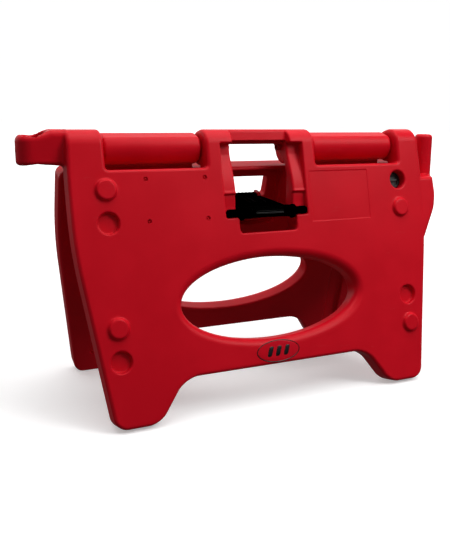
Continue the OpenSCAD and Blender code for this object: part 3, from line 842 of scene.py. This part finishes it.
# The link's is fine at the ribs and round the bar
across = gridLines(-108, 108, link["step"], bothSides([[link["barRibs"][1], 8, 0.7]]))
along = gridLines(-16, reachLength + 20, link["step"], [[reachLength - 2, reachLength + 18, 1.0]])
upward = gridLines(-22, 20, link["step"], [[4, 18, 1.0]])
points, quads, normals = contour(linkField, (across, along, upward))
points, normals = placeLink(points), placeLink(normals, 0)
newPiece("lock_link_moulding", points, [quads], "link", ["lock_link"], blackNylon, normals)

# Both bungs are one shape, at the bottom of either leaf's filler recess, in a black that paints the shade
# deep in the filler hole
fillerU, fillerS = leaf["columns"], leaf["rows"][0]
fillerN = leaf["face"] - leaf["filler"][1]
across = gridLines(fillerU - 23, fillerU + 23, 1.1, [])
through = gridLines(fillerN - 14, fillerN + 10, 1.0, [])
down = gridLines(fillerS - 23, fillerS + 23, 1.1, [])
bungPoints, quads, bungNormals = contour(bungField, (across, through, down))
for side, body in ((1, "front"), (-1, "rear")):
    name, node, stopper = body + "_bung_moulding", body + "_bung", body + "_stopper"
    points, normals = place(side, bungPoints), place(side, bungNormals)
    newPiece(name, points, [quads], stopper, [node], bungShadeBlack, normals)

# The badge: a domed plate that falls off as the sixth power of its radius, a bead round it and three bars
foot, crown = badge["foot"], badge["crown"]
fall, power = badge["fall"]
dome = [[part, crown - fall * part**power] for part in np.linspace(0.97, 0, 14)]
profile = [[0, foot], [0.99, foot], [1.0, foot + 0.3], [1.0, foot + 1.2]] + dome
points, faces = turned(profile, ellipse)
newPiece("badge_dome", onBadge(points), faces, "front", ["badge"], badgeGloss)
points, faces = badgeRim()
newPiece("badge_rim", onBadge(points), faces, "front", [], badgeInk)
barFoot = badge["barFoot"]
barProfile = [[0, barFoot], [0.96, barFoot], [1.0, barFoot + 0.3]]
barProfile += [[1.0, crown], [0.95, crown + 0.3], [0, crown + 0.35]]
points, faces = turned(barProfile, slantedBar)
for number, shift in enumerate(badge["bars"], 1):
    name = "badge_bar_" + str(number)
    newPiece(name, onBadge(points, shift), faces, "front", [], badgeInk)

finishes = {
    "left_hinge_rod": rodSteel,
    "right_hinge_rod": rodSteel,
    "link_pin": rodSteel,
    "left_rod_plug": plugPlastic,
    "right_rod_plug": plugPlastic,
    "arm_bore_plug": plugPlastic,
    "arm_tip_plug": plugPlastic,
    "front_bung_seal": sealRubber,
    "rear_bung_seal": sealRubber,
}
for node, material in finishes.items():
    mesh = frame["nodes"][node].data
    mesh.materials.clear()
    mesh.materials.append(material)
print("carried-over nodes finished")

# The floor's glow goes from near to far between two distances in metres, and the backdrop has a radius, a
# height and a number of sides
studio = {
    "floor": (0.85, 0.85, 0.85, 1),
    "floorReach": 30,
    "floorGlow": [0.35, 1, 0.8, 2.4],
    "backdrop": [14, 12, 24],
    "worldAhead": 0.17,
    "worldBehind": 1.0,
    "worldBelow": 0.08,
    "keyAt": (1.5, -1.7, 2.3),
    "keySize": (1.6, 1.2),
    "keyPower": 40,
    "topAt": (0.1, -0.2, 2.8),
    "topSize": (3.0, 2.0),
    "topPower": 50,
}


def stagePiece(name, points, faces, material):
    # A piece of the studio, which lights nothing and shows in no reflection
    mesh = bpy.data.meshes.new(name)
    mesh.from_pydata(points, [], faces)
    mesh.materials.append(material)
    piece = bpy.data.objects.new(name, mesh)
    bpy.context.scene.collection.objects.link(piece)
    piece.visible_diffuse = False
    piece.visible_glossy = False
    return piece


floorMaterial = bpy.data.materials.new("pale floor")
floorMaterial.use_nodes = True
floorShader = floorMaterial.node_tree.nodes["Principled BSDF"]
floorShader.inputs["Base Color"].default_value = studio["floor"]
floorShader.inputs["Roughness"].default_value = 0.9
floorShader.inputs["Emission Strength"].default_value = 1
floorPlace = Wire(floorMaterial.node_tree).add("ShaderNodeTexCoord", {}, {}, "Object")
floorAway = floorPlace.add("ShaderNodeVectorMath", {"operation": "LENGTH"}, {"Vector": floorPlace}, "Value")
nearGlow, farGlow, glowFrom, glowTo = studio["floorGlow"]
floorGlow = nearGlow + (farGlow - nearGlow) * floorAway.between(glowFrom, glowTo)
floorMaterial.node_tree.links.new(floorGlow.socket, floorShader.inputs["Emission Color"])
far = studio["floorReach"]
floorPoints = [(-far, -far, 0), (far, -far, 0), (far, far, 0), (-far, far, 0)]
stagePiece("floor", floorPoints, [(0, 1, 2, 3)], floorMaterial)

# A round white wall that only the camera sees
wallRadius, wallHeight, wallSides = studio["backdrop"]
wallTurns = np.arange(wallSides) * 2 * math.pi / wallSides
wallRing = np.stack([np.cos(wallTurns), np.sin(wallTurns)], 1) * wallRadius
wallPoints = [(x, y, z) for z in (0, wallHeight) for x, y in wallRing.tolist()]
wallFaces = []
for corner in range(wallSides):
    following = (corner + 1) % wallSides
    wallFaces.append((corner, corner + wallSides, following + wallSides, following))
wallMaterial = bpy.data.materials.new("white backdrop")
wallMaterial.use_nodes = True
wallShader = wallMaterial.node_tree.nodes["Principled BSDF"]
wallShader.inputs["Base Color"].default_value = (0, 0, 0, 1)
wallShader.inputs["Emission Color"].default_value = (1, 1, 1, 1)
wallShader.inputs["Emission Strength"].default_value = 1
stagePiece("backdrop", wallPoints, wallFaces, wallMaterial).visible_shadow = False


def softbox(name, position, size, power):
    # A rectangular light that faces a point half way up to the hinge
    light = bpy.data.lights.new(name, "AREA")
    light.shape = "RECTANGLE"
    light.size, light.size_y = size
    light.energy = power
    lamp = bpy.data.objects.new(name, light)
    aim = np.array([0, 0, hingeZ / 2000]) - np.array(position)
    back = -aim / np.linalg.norm(aim)
    right = np.cross([0, 1, 0.01], back)
    right = right / np.linalg.norm(right)
    turn = np.eye(4)
    turn[:3, :4] = np.stack([right, np.cross(back, right), back, position], 1)
    lamp.matrix_world = Matrix(turn.tolist())
    bpy.context.scene.collection.objects.link(lamp)


softbox("key", studio["keyAt"], studio["keySize"], studio["keyPower"])
softbox("top", studio["topAt"], studio["topSize"], studio["topPower"])
world = bpy.data.worlds.new("studio")
bpy.context.scene.world = world
world.use_nodes = True
background = world.node_tree.nodes["Background"]
background.inputs["Color"].default_value = (1, 1, 1, 1)
direction = Wire(world.node_tree).add("ShaderNodeTexCoord", {}, {}, "Generated")
depth = direction.add("ShaderNodeSeparateXYZ", {}, {"Vector": direction}, "Y")
height = direction.add("ShaderNodeSeparateXYZ", {}, {"Vector": direction}, "Z")
# Bright above the ground behind the barrier, dim ahead of it and dimmer below
sky = depth.between(0.1, 0.6) * height.between(-0.02, 0.05)
ground = height.between(0.1, -0.3)
ahead, behind, below = studio["worldAhead"], studio["worldBehind"], studio["worldBelow"]
glow = ahead + (behind - ahead) * sky - (ahead - below) * ground
world.node_tree.links.new(glow.socket, background.inputs["Strength"])

view = {
    "yaw": 25.15,
    "pitch": 14.76,
    "roll": 1.32,
    "at": (-0.76545, -1.49522, 0.69591),
    "lens": 45.39,
    "sensor": 36,
}


def aimCamera():
    # Level axes turned by the yaw, tipped by the pitch, then rolled about the line of sight
    yaw, pitch, roll = (math.radians(view[name]) for name in ("yaw", "pitch", "roll"))
    ahead = np.array([math.sin(yaw) * math.cos(pitch), math.cos(yaw) * math.cos(pitch), -math.sin(pitch)])
    level = np.array([math.cos(yaw), -math.sin(yaw), 0])
    above = np.cross(level, ahead)
    right = level * math.cos(roll) + above * math.sin(roll)
    up = above * math.cos(roll) - level * math.sin(roll)
    turn = np.eye(4)
    turn[:3, :4] = np.stack([right, up, -ahead, view["at"]], 1)
    data = bpy.data.cameras.new("camera")
    data.lens = view["lens"]
    data.sensor_width = view["sensor"]
    camera = bpy.data.objects.new("camera", data)
    camera.matrix_world = Matrix(turn.tolist())
    bpy.context.scene.collection.objects.link(camera)
    bpy.context.scene.camera = camera


aimCamera()
bpy.context.scene.view_settings.view_transform = "Standard"
print("studio ready")
